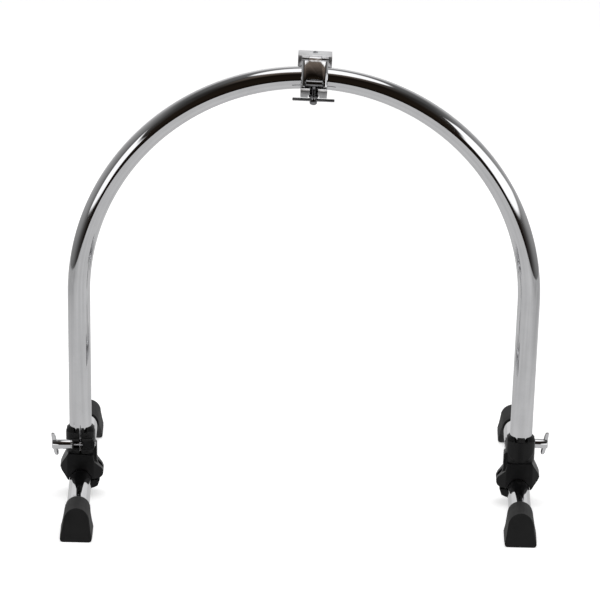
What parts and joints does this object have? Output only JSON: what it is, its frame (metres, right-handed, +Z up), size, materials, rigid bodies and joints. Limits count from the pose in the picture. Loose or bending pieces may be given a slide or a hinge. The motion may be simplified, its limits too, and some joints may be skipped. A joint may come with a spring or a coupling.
{
  "type": "drum docking frame",
  "caption": "Free-standing chrome arch on two foot tubes with rubber feet, leg clamps at its sides and a hoop clamp at its top that docks a bass drum.",
  "frame": {"origin": "on the floor, under the middle of the four feet", "axes": "+Z up, -Y to the front where the swing bolt is, +X to the right seen from the front"},
  "size_m": [0.666, 0.4934, 0.6172],
  "materials": {
    "chrome": "polished chrome plate",
    "zinc_steel": "zinc plated steel",
    "black_paint": "satin black coating on a casting",
    "nylon": "moulded black nylon",
    "rubber": "matt black moulded rubber"
  },
  "bodies": {
    "arch": {"arch_tube": "chrome"},
    "right_clamp": {"right_clamp_body": "black_paint", "right_leg_liner": "nylon", "right_wing_bolt_nut": "black_paint"},
    "right_jaw": {"right_lower_jaw": "black_paint"},
    "right_jaw_screw": {"right_jaw_bolt": "zinc_steel"},
    "right_wing_seat": {"right_wing_bolt_washer": "chrome"},
    "right_wing": {"right_wing_bolt": "chrome"},
    "right_foot": {"right_foot_tube": "chrome", "right_front_foot": "rubber", "right_rear_foot": "rubber"},
    "left_clamp": {"left_clamp_body": "black_paint", "left_leg_liner": "nylon", "left_wing_bolt_nut": "black_paint"},
    "left_jaw": {"left_lower_jaw": "black_paint"},
    "left_jaw_screw": {"left_jaw_bolt": "zinc_steel"},
    "left_wing_seat": {"left_wing_bolt_washer": "chrome"},
    "left_wing": {"left_wing_bolt": "chrome"},
    "left_foot": {"left_foot_tube": "chrome", "left_front_foot": "rubber", "left_rear_foot": "rubber"},
    "hoop_clamp": {"hoop_bracket": "chrome", "channel": "chrome", "hinge_pin": "zinc_steel", "cross_pin": "zinc_steel", "lower_pad": "rubber"},
    "swing_bolt": {"swing_bolt": "chrome"},
    "t_nut_seat": {"t_nut_washer": "chrome"},
    "t_nut": {"t_nut": "chrome"},
    "swivel": {"swivel_foot": "zinc_steel", "upper_pad": "rubber"},
    "hoop_screw": {"hoop_screw": "zinc_steel"}
  },
  "joints": [
    {"name": "right_height", "type": "slide", "parent": "arch", "child": "right_clamp", "axis": [-0.0241, 0, -0.9997], "range_m": [0, 0.02]},
    {"name": "right_foot_slide", "type": "slide", "parent": "right_clamp", "child": "right_foot", "axis": [0, 1, 0], "range_m": [-0.205, 0.089]},
    {"name": "right_jaw_bolt_turn", "type": "hinge", "parent": "right_clamp", "child": "right_jaw_screw", "pos_m": [0.27223, -0.049, 0.02452], "axis": [-0.1843, 0, 0.9829], "range_deg": [0, 1081]},
    {"name": "right_jaw_slide", "type": "slide", "parent": "right_clamp", "child": "right_jaw", "axis": [0.1843, 0, -0.9829], "range_m": [0, 0.003]},
    {"name": "right_wing_bolt_travel", "type": "slide", "parent": "right_clamp", "child": "right_wing_seat", "axis": [0.9997, 0, -0.0241], "range_m": [0, 0.004]},
    {"name": "right_wing_bolt_turn", "type": "hinge", "parent": "right_wing_seat", "child": "right_wing", "pos_m": [0.29498, -0.026, 0.07638], "axis": [0.9997, 0, -0.0241], "range_deg": [0, 1441]},
    {"name": "left_height", "type": "slide", "parent": "arch", "child": "left_clamp", "axis": [0.0241, 0, -0.9997], "range_m": [0, 0.02]},
    {"name": "left_foot_slide", "type": "slide", "parent": "left_clamp", "child": "left_foot", "axis": [0, 1, 0], "range_m": [-0.187, 0.107]},
    {"name": "left_jaw_bolt_turn", "type": "hinge", "parent": "left_clamp", "child": "left_jaw_screw", "pos_m": [-0.27223, -0.049, 0.02452], "axis": [0.1843, 0, 0.9829], "range_deg": [0, 1081]},
    {"name": "left_jaw_slide", "type": "slide", "parent": "left_clamp", "child": "left_jaw", "axis": [-0.1843, 0, -0.9829], "range_m": [0, 0.003]},
    {"name": "left_wing_bolt_travel", "type": "slide", "parent": "left_clamp", "child": "left_wing_seat", "axis": [-0.9997, 0, -0.0241], "range_m": [0, 0.004]},
    {"name": "left_wing_bolt_turn", "type": "hinge", "parent": "left_wing_seat", "child": "left_wing", "pos_m": [-0.29498, -0.072, 0.07638], "axis": [-0.9997, 0, -0.0241], "range_deg": [0, 1441]},
    {"name": "hoop_clamp_travel", "type": "hinge", "parent": "arch", "child": "hoop_clamp", "pos_m": [0, -0.049, 0.2882], "axis": [0, 1, 0], "range_deg": [-30, 30]},
    {"name": "swing_bolt_swing", "type": "hinge", "parent": "hoop_clamp", "child": "swing_bolt", "pos_m": [0.00727, -0.069, 0.58571], "axis": [-0.9997, 0, 0.0244], "range_deg": [0, 75]},
    {"name": "t_nut_travel", "type": "slide", "parent": "swing_bolt", "child": "t_nut_seat", "axis": [-0.0244, 0, -0.9997], "range_m": [0, 0.005]},
    {"name": "t_nut_turn", "type": "hinge", "parent": "t_nut_seat", "child": "t_nut", "pos_m": [0.00727, -0.069, 0.58571], "axis": [-0.0244, 0, -0.9997], "range_deg": [0, 1801]},
    {"name": "swivel_travel", "type": "slide", "parent": "hoop_clamp", "child": "swivel", "axis": [-0.0244, 0, -0.9997], "range_m": [-0.004, 0.01]},
    {"name": "hoop_screw_turn", "type": "hinge", "parent": "swivel", "child": "hoop_screw", "pos_m": [0.00733, -0.0175, 0.58811], "axis": [-0.0244, 0, -0.9997], "range_deg": [-1441, 3601]}
  ],
  "couplings": [
    {"joint": "right_jaw_bolt_turn", "follows": "right_jaw_slide", "rad_per_m": 6283.2},
    {"joint": "right_wing_bolt_turn", "follows": "right_wing_bolt_travel", "rad_per_m": 6283.2},
    {"joint": "left_jaw_bolt_turn", "follows": "left_jaw_slide", "rad_per_m": 6283.2},
    {"joint": "left_wing_bolt_turn", "follows": "left_wing_bolt_travel", "rad_per_m": 6283.2},
    {"joint": "t_nut_turn", "follows": "t_nut_travel", "rad_per_m": 6283.2},
    {"joint": "hoop_screw_turn", "follows": "swivel_travel", "rad_per_m": 6283.2}
  ]
}
